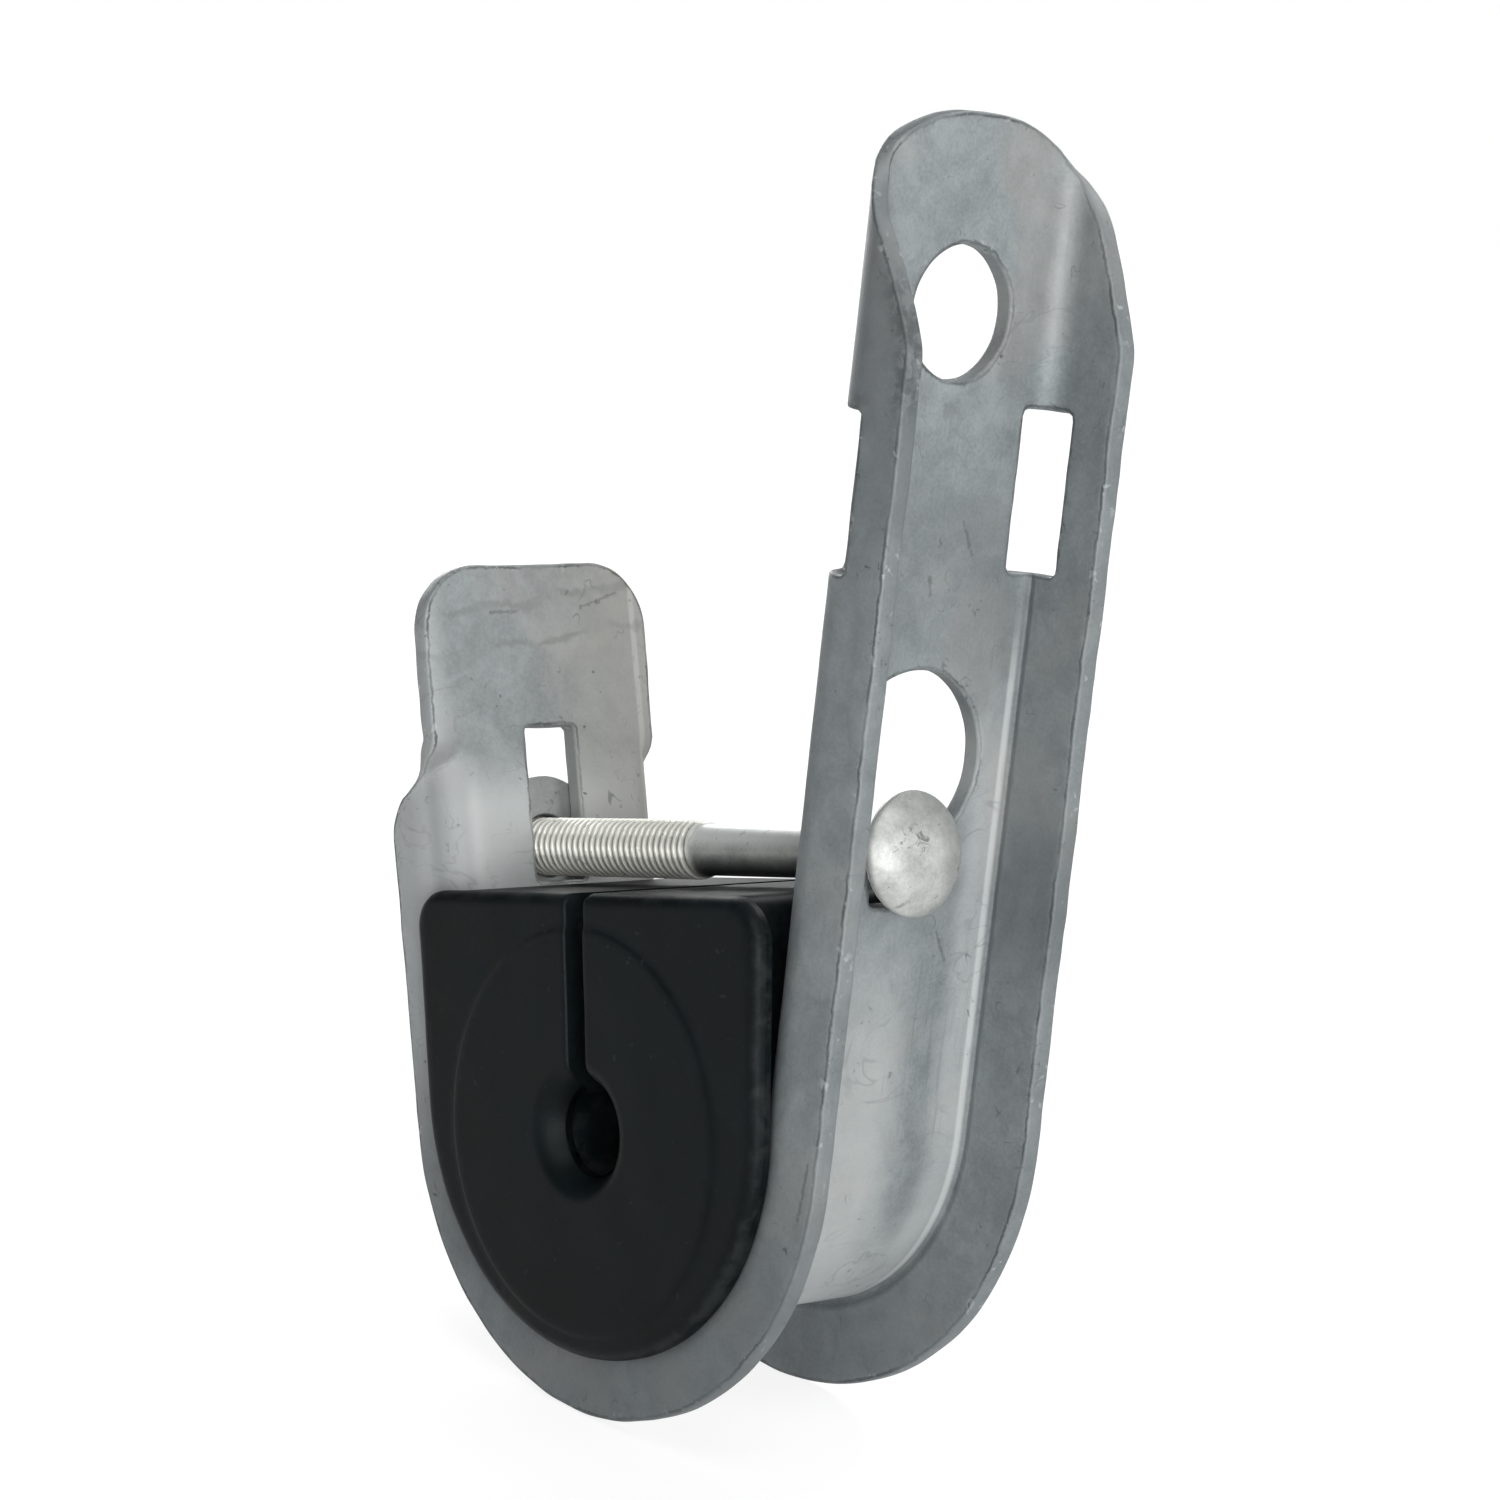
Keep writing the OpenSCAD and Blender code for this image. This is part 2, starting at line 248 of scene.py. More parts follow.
def sheet_finish():
    """Dull grey zinc on the pressed sheet, with stains, scratches, pits and dark scuffs along its edges, and painted
    light and shade on the web, flanges and bends.
    """
    f = Finish("dull_zinc")
    p = f.object_mm()
    x, y, up = (f.part_of(p, axis) for axis in "XYZ")
    flange = f.measure("flange")
    tone, cloud, blotch, sand = clouds(f, p, 10.0)
    colour = f.blend(tone, paint(104, 110, 112), paint(141, 147, 148))
    height = cloud * 0.9 + blotch * 0.5 + sand * 0.26
    # Warmer and cooler patches.
    warm = f.grain(p, 22.0, 2.0, 0.5, 0.5, 11.0).step(0.5, 0.66)
    colour = f.blend(warm * 0.35, colour, paint(143, 140, 136))
    # Painted shade: the flanges are painted darker, most of all low down on the near side and low on the far flange.
    colour = f.blend(flange.step(0.3, 0.9) * x.step(-40.0, -20.0) * 0.24, colour, paint(84, 90, 92))
    low_near_shade = flange.step(0.3, 0.9) * y.step(-12.0, -17.0) * up.step(-98.0, -136.0)
    colour = f.blend(low_near_shade * 0.45, colour, paint(66, 72, 74))
    low_far_shade = flange.step(0.3, 0.9) * y.step(12.0, 15.0) * up.step(-118.0, -140.0)
    colour = f.blend(low_far_shade * 0.3, colour, paint(66, 72, 74))
    # Painted light: the web is painted brighter low down, at its foot and along the sharp far bend.
    web = flange.step(0.5, 0.2)
    low_web_light = up.step(-78.0, -98.0) * x.step(-9.0, -2.0) * y.step(8.0, 0.0) * web
    colour = f.blend(low_web_light * 0.5, colour, paint(176, 178, 176))
    foot_light = up.step(-112.0, -136.0) * x.step(-34.0, -24.0) * web
    colour = f.blend(foot_light * 0.38, colour, paint(214, 216, 215))
    beside = up.step(-40.0, -62.0) * x.step(-9.0, -2.0) * y.step(9.0, 13.5) * flange.step(0.62, 0.4)
    colour = f.blend(beside * 0.3, colour, paint(206, 209, 208))
    # A painted highlight: a thin bright line along the sharp far bend.
    line = (flange - 0.42).magnitude().step(0.11, 0.03) * up.step(-33.0, -52.0) * y.step(10.0, 14.0)
    colour = f.blend(line * 0.4, colour, paint(226, 229, 228))
    # Darker patches: up the near flange, across the middle of the web and below the far strap slot.
    darker_patch = flange.step(0.3, 0.9) * (y.step(-12.0, -17.0) * up.step(-42.0, -14.0) + y.step(12.0, 15.0) * (up + 74.0).magnitude().step(15.0, 4.0))
    colour = f.blend((darker_patch + web * (up + 34.0).magnitude().step(22.0, 8.0) * x.step(-9.0, -2.0) * 0.45) * 0.4, colour, paint(72, 78, 81))
    # Painted light: the short leg below its bolt is painted brighter, and so are the flanges low at the short leg's end
    # of the U.
    short_leg_light = x.step(-45.0, -52.0) * up.step(-68.0, -78.0) * flange.step(0.9, 0.4)
    colour = f.blend(short_leg_light * 0.6, colour, paint(196, 199, 199))
    end_flange_light = flange.step(0.3, 0.9) * x.step(-36.0, -52.0) * up.step(-132.0, -104.0)
    colour = f.blend(end_flange_light * 0.45, colour, paint(180, 184, 185))
    # Painted shade: the short leg's near bend is painted darker, to tone down its highlight.
    bend_shade = x.step(-46.0, -52.0) * up.step(-68.0, -76.0) * flange.step(0.0, 0.25) * flange.step(0.95, 0.7)
    colour = f.blend(bend_shade * 0.4, colour, paint(84, 90, 92))
    # Long drawing scratches along the web.
    drawn = f.grain(f.stretch(p, (1.0, 1.0, 0.045)), 0.55, 2.0, 0.6, 0.0, 55.0).step(0.58, 0.74)
    patchy = f.grain(p, 14.0, 2.0, 0.5, 0.0, 5.0).step(0.48, 0.6)
    colour = f.blend(drawn * patchy * 0.3, colour, paint(101, 107, 108))
    # Stains that ran and dried: thin dark rims of large blobs.
    flow = f.grain(f.stretch(p, (1.0, 0.8, 1.3)), 16.0, 3.0, 0.55, 1.4, 23.0)
    rim = (flow - 0.52).magnitude().step(0.016, 0.0)
    colour = f.blend(rim * f.grain(p, 9.0, 2.0, 0.5, 0.0, 31.0).step(0.45, 0.6) * 0.3, colour, paint(96, 100, 101))
    # A brown stain band across the tab.
    ragged = f.grain(p, 2.2, 3.0, 0.65, 0.6, 140.0)
    drift = (f.grain(p, 8.0, 3.0, 0.6, 0.8, 64.0) - 0.5) * 6.0
    tab = x.step(-60.0, -66.0)
    band = (up + 51.5 + drift - y * 0.13).magnitude()
    stain = tab * (band - 2.6).magnitude().step(0.9, 0.1) * cloud.step(0.35, 0.6)
    colour = f.blend(tab * y.step(-6.0, 14.0, 0.1, 0.55), colour, paint(147, 144, 137))
    colour = f.blend(stain * 0.4, colour, paint(92, 94, 92))
    # Hairline marks and small dark pits.
    hair = (f.grain(p, 11.0, 3.0, 0.65, 0.9, 90.0) - 0.5).magnitude().step(0.009, 0.0)
    colour = f.blend(hair * f.grain(p, 3.2, 1.0, 0.5, 0.0, 71.0).step(0.6, 0.68) * 0.6, colour, paint(76, 80, 81))
    pits = f.grain(p, 1.4, 1.5, 0.5, 0.2, 120.0).step(0.73, 0.79) * f.grain(p, 12.0, 1.0, 0.5, 0.0, 7.0).step(0.48, 0.6)
    colour = f.blend(pits * 0.75, colour, paint(58, 62, 63))
    # Single cracks, nicks and scratches.
    rough = (f.grain(p, 0.9, 3.0, 0.7, 0.8, 230.0) - 0.45) * 1.3
    on_tab = [leg_place([(HOOK_R, t, u)])[0] * 1000 for t, u in ((-9.0, 68.5), (-4.5, 68.7), (7.5, 69.3), (14.0, 71.3))]
    cracks = f.marks(p, (
        ((0.0, 4.5, -26.5), (0.0, 6.5, -30.5)), ((0.0, -0.5, -33.5), (0.0, 0.0, -36.0)),
        ((0.0, 8.0, -80.0), (0.0, 10.0, -84.0)), ((0.0, 2.3, -114.0), (0.0, 2.4, -115.5)),
        ((11.5, -19.9, -3.5), (12.0, -19.9, -11.5)), ((10.0, -19.9, -106.0), (9.3, -19.9, -113.5)),
        (on_tab[0], on_tab[1]), (on_tab[2], on_tab[3])), 0.42, rough)
    colour = f.blend(cracks * 0.42, colour, paint(62, 66, 67))
    worn = f.grain(f.stretch(p, (1.0, 1.0, 0.03)), 0.7, 1.0, 0.5, 0.0, 65.0).step(0.56, 0.66)
    worn = worn * y.step(4.0, 6.0) * y.step(13.0, 11.0) * up.step(-82.0, -86.0) * up.step(-105.0, -100.0) * web
    colour = f.blend(worn * 0.3, colour, paint(98, 104, 105))
    # Along the cut edges: a ragged dark line where the face ends, and painted shade that darkens the edge itself.
    edge = f.measure("edge")
    line = (edge - 0.4 - (ragged - 0.5) * 1.1).magnitude().step(0.30, 0.05) * edge.step(0.05, 0.25)
    strong = f.grain(p, 7.0, 2.0, 0.55, 0.0, 150.0).step(0.4, 0.62)
    colour = f.blend(line * (0.35 + strong * 0.5), colour, paint(63, 67, 68))
    colour = f.blend(edge.step(0.5, 0.1) * 0.2, colour, paint(84, 88, 89))
    worn_edge = edge.step(3.4, 0.3) * up.step(-15.0, -9.0) * up.step(8.0, 0.0) * y.step(-14.0, -17.0) * ragged.step(0.42, 0.58)
    colour = f.blend(worn_edge * 0.7, colour, paint(62, 66, 67))
    scuff = f.grain(p, 1.1, 3.0, 0.65, 0.4, 160.0).step(0.6, 0.7) * edge.step(2.4, 0.6) * f.grain(p, 9.0, 1.0, 0.5, 0.0, 170.0).step(0.52, 0.6)
    colour = f.blend(scuff * 0.6, colour, paint(56, 60, 61))
    # Zinc beads along the edges: raised in the bump, and painted lighter as a painted highlight.
    bead = f.grain(p, 1.6, 2.0, 0.5, 0.3, 210.0).step(0.62, 0.7) * edge.step(1.6, 0.5) * strong
    colour = f.blend(bead * 0.3, colour, paint(196, 199, 197))
    height = height - pits * 0.5 - hair * 0.12 - line * 0.3 - (scuff + cracks + worn_edge) * 0.4 + bead * 0.3
    normal = f.node("ShaderNodeBump", {}, {"Strength": 0.4, "Distance": 0.0002, "Height": height}, out="Normal")
    roughness = (0.6 + (blotch - 0.5) * 0.14 + (sand - 0.5) * 0.12 + scuff * 0.15).clamped()
    return f.close(Base_Color=colour, Metallic=0.25, Roughness=roughness, Normal=normal)


def bolt_finish():
    """Brighter, whiter zinc on the bolt, washer and nut, with scuffs; the thread and the shank's top carry painted
    highlights, its grooves and the shank's underside painted shade.
    """
    f = Finish("bolt_zinc")
    p = f.object_mm()
    tone, cloud, blotch, sand = clouds(f, p, 5.0)
    colour = f.blend(tone, paint(142, 145, 143), paint(186, 188, 184))
    # Painted light and shade: the thread and the top of the shank are painted bright as highlights, and the underside
    # of the shank is painted dark as shade.
    colour = f.blend(f.measure("thread") * 0.85, colour, paint(244, 243, 234))
    colour = f.blend(f.measure("top") * 0.8, colour, paint(228, 230, 228))
    colour = f.blend(f.measure("under") * 0.85, colour, paint(30, 34, 35))
    colour = f.blend(f.measure("flat") * 0.55, colour, paint(100, 104, 104))
    scuff = f.grain(f.stretch(p, (1.0, 0.7, 1.0)), 1.5, 3.0, 0.65, 1.2, 20.0).step(0.6, 0.72)
    colour = f.blend(scuff * f.grain(p, 5.0, 1.0, 0.5, 0.0, 33.0).step(0.4, 0.62) * 0.75, colour, paint(86, 88, 86))
    # Painted shade in the thread's grooves.
    groove_shade = f.measure("groove")
    colour = f.blend((groove_shade * (0.92 + (blotch - 0.5) * 0.5)).clamped(), colour, paint(30, 34, 34))
    height = cloud * 0.6 + blotch * 0.5 + sand * 0.15 - scuff * 0.25
    normal = f.node("ShaderNodeBump", {}, {"Strength": 0.35, "Distance": 0.00018, "Height": height}, out="Normal")
    roughness = (0.46 + (blotch - 0.5) * 0.18 + scuff * 0.12).clamped()
    return f.close(Base_Color=colour, Metallic=0.35, Roughness=roughness, Normal=normal)


def rubber_finish():
    f = Finish("black_rubber")
    p = f.object_mm()
    cloud = f.grain(p, 9.0, 4.0, 0.6, 0.4)
    fine = f.grain(p, 0.5, 2.0, 0.6, 0.0, 30.0)
    dust = f.grain(p, 1.3, 2.0, 0.5, 0.0, 60.0).step(0.70, 0.78) * 0.3
    colour = f.blend(cloud.step(0.3, 0.7), paint(6, 11, 12), paint(11, 18, 20))
    colour = f.blend(dust, colour, paint(48, 52, 52))
    # Rubbed edges painted lighter: partly wear, partly a painted highlight along the rounded edges.
    rubbed_and_sheen = f.measure("edge").step(1.6, 0.2) * f.grain(p, 3.0, 3.0, 0.6, 0.4, 44.0).step(0.42, 0.66)
    colour = f.blend(rubbed_and_sheen * 0.35, colour, paint(48, 50, 50))
    height = cloud * 0.6 + fine * 0.2
    normal = f.node("ShaderNodeBump", {}, {"Strength": 0.3, "Distance": 0.00015, "Height": height}, out="Normal")
    rough = (0.5 + (cloud - 0.5) * 0.2 + (fine - 0.5) * 0.15).clamped()
    return f.close(Base_Color=colour, Roughness=rough, Specular_IOR_Level=0.1, Normal=normal)


# ---- The pressed sheet: a flat blank, folded along the hook

ARC_LENGTH = MID_R * (math.pi - LEAN)
ARC_DROP = FLANGE_DROP / (1 - math.sin(LEAN))
FOLD_FLAT, FOLD_SQUARE = 51.0, 43.5      # along the short leg: the flanges' fold fades between these
CREASE_TOP = 94.0                        # the far bend's inner corner is sharp below this height
NEAR_BEND_R = 8.0
TAB_FAR, TAB_FAR_R = 19.5, 9.6
TAB_NEAR, TAB_NEAR_R = 20.7, 9.8
TIP_R = HOOK_R + FLANGE_H


def fold_angle(s):
    """How far the flanges are folded at a place along the hook: square, but flat in the tab."""
    up = -np.asarray(s, float) - ARC_LENGTH
    part = np.clip((FOLD_FLAT - up) / (FOLD_FLAT - FOLD_SQUARE), 0.0, 1.0)
    return np.maximum(math.pi / 2 * part * part * (3 - 2 * part), 1e-4)


def fold(s, t):
    """Folds blank places (s along the hook from the U's right end, t across) into 3-D points."""
    s, t = np.asarray(s, float), np.asarray(t, float)
    side, across = np.sign(t), np.abs(t)
    angle = fold_angle(s)
    run = np.clip(across - FLAT_HALF, 0, angle * BEND_MID)
    turn = run / BEND_MID
    rest = np.clip(across - FLAT_HALF - angle * BEND_MID, 0, None)
    out = BEND_MID * (1 - np.cos(turn)) + rest * np.sin(angle)
    y = side * (np.minimum(across, FLAT_HALF) + BEND_MID * np.sin(turn) + rest * np.cos(angle))
    phi = np.clip(-s / MID_R, 0, math.pi - LEAN)
    up = np.where(s > 0, s, 0.0)
    far = np.where(s < -ARC_LENGTH, -s - ARC_LENGTH, 0.0)
    nx, nz = np.cos(phi), -np.sin(phi)
    x = (MID_R + out) * nx - far * math.sin(LEAN)
    z = (MID_R + out) * nz + up + far * math.cos(LEAN)
    return np.stack([x, y, z], -1)


def crease(s, t):
    """How far the channel's inner face of the far bend lies beyond a plain round: a sharp corner with a narrow ledge."""
    r_in = BEND_R - SHEET
    ledge = [(0, r_in), (0, 0.1), (0, -0.5), (0.15, -0.7), (0.5, -0.7), (1.5, 0), (r_in, 0)]      # up the flange, across the web
    along = np.vstack([np.linspace(p, q, 12) for p, q in zip(np.array(ledge), np.array(ledge)[1:])])
    theta = np.arctan2(r_in - along[:, 1], r_in - along[:, 0])
    reach = np.hypot(r_in - along[:, 1], r_in - along[:, 0])
    turn = np.clip((t - FLAT_HALF) / BEND_MID, 0, math.pi / 2)
    share = np.clip((CREASE_TOP - s) / 10, 0, 1) * np.clip(fold_angle(s) * 4 - 5.2, 0, 1)
    return (np.interp(turn, theta, reach) - r_in) * share


def near_ease(s, t):
    """How far the outside of the near bend lies inside a plain round of the far bend's radius."""
    more = NEAR_BEND_R - BEND_R
    across = -np.asarray(t, float) - FLAT_HALF
    turn = np.clip(across / BEND_MID, 0, math.pi / 2)
    both = np.cos(turn) + np.sin(turn)
    round_part = BEND_R + more * both - np.sqrt(np.maximum(NEAR_BEND_R ** 2 - 2 * more ** 2 + (more * both) ** 2, 0))
    before = NEAR_BEND_R - np.sqrt(NEAR_BEND_R ** 2 - np.clip(across + more, 0, more) ** 2)
    after = NEAR_BEND_R - np.sqrt(NEAR_BEND_R ** 2 - np.clip(more - (across - BEND_MID * math.pi / 2), 0, more) ** 2)
    depth = np.where(across < 0, before, np.where(turn < math.pi / 2, round_part, after))
    return depth * np.clip(fold_angle(s) / (math.pi / 2), 0, 1)


def fold_normal(s, t):
    """The outward normal of the folded middle surface."""
    e = 0.05
    along = fold(s + e, t) - fold(s - e, t)
    across = fold(s, t + e) - fold(s, t - e)
    normal = np.cross(across, along)
    return normal / np.linalg.norm(normal, axis=-1, keepdims=True)


def flange_edge(s):
    """Blank half width where the flange edge follows the hook, for places below the taper."""
    phi = np.clip(-s / MID_R, 0, math.pi - LEAN)
    dot = ARC_DROP * np.sin(phi)
    reach = dot + np.sqrt(dot * dot - ARC_DROP ** 2 + (TIP_R - ARC_DROP) ** 2)
    reach = np.where(phi > math.pi / 2, reach, TIP_R)
    return reach - MID_R + FLAT_HALF + (math.pi / 2 - 1) * BEND_MID


def blank_edge(side):
    """One side of the blank's edge, from the top of the long leg to the top of the tab: 1 far, -1 near."""
    flank = float(flange_edge(np.array(1.0)))
    far = side > 0
    if far:
        end = [(LEG_TOP, 0.0), (132.6, 5.0), (131.7, 9.3), (130.1, 12.8), (128.8, 15.1), (126.8, 17.9), (124.4, 20.2),
               (121.4, 22.7), (116.8, 25.0), (110.9, 27.5), (106.5, 29.2), (104.3, 29.6), (102.0, flank)]
    else:
        end = [(LEG_TOP, 0.0), (132.5, 4.6), (131.2, 9.1), (129.1, 13.1), (127.0, 15.5), (124.9, 17.5), (122.1, 19.2),
               (119.1, 20.8), (115.6, 23.2), (110.1, 26.4), (105.6, 28.7), (103.8, 29.4), (102.0, flank)]
    low = -ARC_LENGTH
    run = [(s, float(flange_edge(np.array(s)))) for s in np.arange(101.5, low - 37.5, -0.8)]
    tip = run[-1][1]
    edge, corner = (TAB_FAR, TAB_FAR_R) if far else (TAB_NEAR, TAB_NEAR_R)
    top = TAB_TOP + (0.1 if far else -0.65)
    shoulder = [(low - 38.2, tip - 0.05), (low - 39.6, tip - 0.3), (low - 40.9, tip - 0.9), (low - 42.4, tip - 1.9),
                (low - 44.0, tip - 3.6), (low - 45.6, tip - 5.7), (low - 46.9, edge + 0.35), (low - 48.6, edge + 0.02),
                (low - 52.0, edge - (0.35 if far else 0.0)), (low - 58.0, edge - (0.2 if far else 0.0)), (low - top + corner + 1, edge)]
    tab = [(low - top + corner - corner * math.sin(a), edge - corner + corner * math.cos(a))
           for a in np.linspace(0, math.pi / 2, 18)]
    return [(s, side * t) for s, t in curve(end) + run + curve(shoulder) + tab + [(low - TAB_TOP + 0.3, 0.0)]]


def curve(points, step=0.5):
    """A smooth line through the points, as closely spaced points."""
    p = np.array(points, float)
    p = np.vstack([2 * p[0] - p[1], p, 2 * p[-1] - p[-2]])
    made = []
    for a, b, c, d in zip(p, p[1:], p[2:], p[3:]):
        count = max(2, int(np.linalg.norm(c - b) / step))
        for k in range(count):
            u = k / count
            made.append(tuple(0.5 * (2 * b + (c - a) * u + (2 * a - 5 * b + 4 * c - d) * u * u
                                     + (3 * b - a - 3 * c + d) * u ** 3)))
    return made + [tuple(p[-2])]


def loop_resample(points, step):
    """A closed line with evenly spaced points."""
    p = np.array(points, float)
    p = p[np.linalg.norm(p - np.roll(p, 1, 0), axis=1) > 1e-6]
    closed = np.vstack([p, p[:1]])
    length = np.concatenate([[0], np.cumsum(np.linalg.norm(np.diff(closed, axis=0), axis=1))])
    at = np.linspace(0, length[-1], int(round(length[-1] / step)) + 1)[:-1]
    return np.stack([np.interp(at, length, closed[:, k]) for k in (0, 1)], 1)


def rounded_box(s0, s1, t0, t1, r, steps=4):
    """A box in the blank with small round corners."""
    made = []
    for cs, ct, a0 in ((s1 - r, t1 - r, 0), (s0 + r, t1 - r, 90), (s0 + r, t0 + r, 180), (s1 - r, t0 + r, 270)):
        for a in np.radians(np.linspace(a0, a0 + 90, steps)):
            made.append((cs + r * math.cos(a), ct + r * math.sin(a)))
    return made


def keyhole():
    """Round hole for the bolt head that runs down into the square seat."""
    half = math.asin(SEAT_HALF / KEY_R)
    arc = [(KEY_Z + KEY_R * math.cos(a), KEY_R * math.sin(a)) for a in np.linspace(-math.pi + half, math.pi - half, 64)]
    return arc + [(SEAT_LOW + 0.5, SEAT_HALF), (SEAT_LOW, SEAT_HALF - 0.5), (SEAT_LOW, -SEAT_HALF + 0.5), (SEAT_LOW + 0.5, -SEAT_HALF)]


def circle_line(s, r, count=56):
    return [(s + r * math.cos(a), r * math.sin(a)) for a in np.linspace(0, 2 * math.pi, count, endpoint=False)]


def line_distance(points, loops):
    """Distance from each point to the nearest loop."""
    best = np.full(len(points), 1e9)
    for loop in loops:
        a, b = loop, np.roll(loop, -1, 0)
        d = b - a
        size = (d ** 2).sum(1) + 1e-12
        for k in range(0, len(points), 2000):
            q = points[k:k + 2000, None]
            u = np.clip(((q - a) * d).sum(2) / size, 0, 1)
            gap = np.linalg.norm(q - a - u[..., None] * d, axis=2).min(1)
            best[k:k + 2000] = np.minimum(best[k:k + 2000], gap)
    return best


def inside(points, loops):
    """Whether each point lies inside the first loop and outside the others."""
    count = np.zeros(len(points), int)
    for loop in loops:
        a, b = loop, np.roll(loop, -1, 0)
        for k in range(0, len(points), 2000):
            q = points[k:k + 2000, None]
            over = (a[:, 1] > q[..., 1]) != (b[:, 1] > q[..., 1])
            x = a[:, 0] + (q[..., 1] - a[:, 1]) / (b[:, 1] - a[:, 1] + 1e-15) * (b[:, 0] - a[:, 0])
            count[k:k + 2000] += (over & (q[..., 0] < x)).sum(1)
    return count % 2 == 1


def inset(loop, distance, loops):
    """Points of a loop moved into the sheet by a distance."""
    tangent = np.roll(loop, -1, 0) - np.roll(loop, 1, 0)
    normal = np.stack([-tangent[:, 1], tangent[:, 0]], 1)
    normal /= np.linalg.norm(normal, axis=1, keepdims=True) + 1e-12
    if not inside((loop + normal * 0.05)[len(loop) // 3:len(loop) // 3 + 1], loops)[0]:
        normal = -normal
    moved = loop + normal * distance
    return moved[line_distance(moved, loops) > distance * 0.93]


def fill_sheet(loops, rings, grid):
    """Triangles over the region inside the loops, with rows of points that follow its edges."""
    rim = np.vstack(loops)
    rows = [rim] + [inset(loop, r, loops) for r in rings for loop in loops]
    near = line_distance(grid, loops)
    rows.append(grid[inside(grid, loops) & (near > rings[-1] + 0.45)])
    points = np.vstack(rows)
    edges, start = [], 0
    for loop in loops:
        n = len(loop)
        edges += [(start + i, start + (i + 1) % n) for i in range(n)]
        start += n
    verts, _, faces, origin, _, _ = delaunay_2d_cdt([Vector(p) for p in points], edges, [], 0, 1e-5)
    flat = np.array([tuple(v) for v in verts])
    order = np.array([o[0] if o else -1 for o in origin])
    faces = np.array([f for f in faces if len(f) == 3])
    faces = faces[inside(flat[faces].mean(1), loops)]
    back = {int(o): i for i, o in enumerate(order)}
    loops_at, start = [], 0
    for loop in loops:
        loops_at.append([back[start + i] for i in range(len(loop))])
        start += len(loop)
    return flat, faces, loops_at


def wobble(points, size, strength, seed=0.0):
    """Smooth noise at 3-D points, about zero."""
    return np.array([noise.noise(Vector(p) / size + Vector((seed, 0, 0))) for p in points]) * strength


def hook_sheet():
    outline = loop_resample(blank_edge(1) + blank_edge(-1)[-2:0:-1], 0.75)
    low = -ARC_LENGTH
    bend_len = BEND_MID * math.pi / 2
    strap = (STRAP_LOW, STRAP_HIGH, HALF_W - STRAP_IN, FLAT_HALF + bend_len + HOOK_R + STRAP_UP - MID_R - BEND_MID)
    holes = [
        circle_line(POLE_HOLE_Z - 0.15, POLE_HOLE_R - 0.2),
        keyhole(),
        rounded_box(*strap, 0.8),
        [(s if s < 90 else s - 1.0, -t) for s, t in rounded_box(*strap, 0.8)],
        rounded_box(low - SLOT_HIGH, low - SLOT_LOW, -SLOT_HALF, SLOT_HALF, 0.5),
    ]
    loops = [outline] + [loop_resample(h, 0.75) for h in holes]
    shaken = []
    for loop, long_wave in zip(loops, (0.2, 0.0, 0.0, 0.0, 0.0, 0.0)):
        push = np.stack([wobble(np.c_[loop, np.full(len(loop), k * 9.0)], 3.5, 0.11)
                         + wobble(np.c_[loop, np.full(len(loop), k * 7.0)], 12.0, long_wave) for k in (1, 2)], 1)
        shaken.append(loop + push)
    loops = shaken
    bend_lines = np.radians([14, 26, 36, 44, 47, 49, 52, 55, 58, 62, 68, 78, 90])
    t_lines = np.concatenate([np.linspace(0, FLAT_HALF, 16), FLAT_HALF + BEND_MID * bend_lines,
                              np.linspace(FLAT_HALF + bend_len, 31, 12)[1:]])
    t_lines = np.concatenate([-t_lines[:0:-1], t_lines])
    s_lines = np.arange(low - TAB_TOP, LEG_TOP, 0.92)
    grid = np.stack(np.meshgrid(s_lines, t_lines, indexing="ij"), -1).reshape(-1, 2)
    edge_r = 0.45
    flat, faces, rims = fill_sheet(loops, (0.08, 0.22, 0.45), grid)
    gap_full = line_distance(flat, loops)
    gap = np.minimum(gap_full, edge_r)
    half_t = SHEET / 2 - edge_r + np.sqrt(np.maximum(edge_r ** 2 - (edge_r - gap) ** 2, 0))
    middle = fold(flat[:, 0], flat[:, 1])
    normal = fold_normal(flat[:, 0], flat[:, 1])
    fill = -crease(flat[:, 0], flat[:, 1])
    ease = near_ease(flat[:, 0], flat[:, 1])
    bead = np.exp(-((gap_full - 0.9) / 0.8) ** 2)
    layers = []
    for hand in (1, -1):
        apart = middle + normal * hand * 20
        lump = wobble(apart, 11.0, 0.06) + wobble(apart, 3.0, 0.025, 5.0)
        drip = np.maximum(wobble(apart, 4.0, 1.0, 8.0) - 0.12, 0) * bead * 0.28
        layers.append(middle + normal * (hand * (half_t + lump + drip) + (fill if hand > 0 else ease))[:, None])
    count = len(flat)
    points = np.vstack(layers)
    made = [tuple(f) for f in faces] + [tuple(f[::-1] + count) for f in faces]
    turn = np.sign(np.einsum("ij,ij->i", np.cross(points[faces[:, 1]] - points[faces[:, 0]],
                                                 points[faces[:, 2]] - points[faces[:, 0]]), normal[faces[:, 0]]))
    if turn.mean() < 0:
        made = [f[::-1] for f in made]
    for rim in rims:
        for a, b in zip(rim, rim[1:] + rim[:1]):
            made.append((a, b, b + count, a + count))
    flange = np.clip((np.abs(flat[:, 1]) - FLAT_HALF) / bend_len, 0, 1)
    return place(points), made, {"edge": np.tile(gap_full, 2), "flange": np.tile(flange, 2)}


def fix_normals(piece):
    work = bmesh.new()
    work.from_mesh(piece.data)
    bmesh.ops.recalc_face_normals(work, faces=work.faces)
    work.to_mesh(piece.data)
    work.free()
    piece.data.update()


# ---- The moulded insert

INSERT_TOP, INSERT_HALF, LIP_BACK = 26.9, 23.0, 20.05
LIP_R, CORE_R = HOOK_R + 6.4, HOOK_R - 0.1
WEDGE = math.radians(3.2)
BORE_U, BORE_W, BORE_R = -0.9, -4.6, 6.0
MOUTH_R, MOUTH_DEPTH = 9.6, 3.7
SLIT_HALF = 1.9
RING_R, RING_STEP = 27.0, 0.25


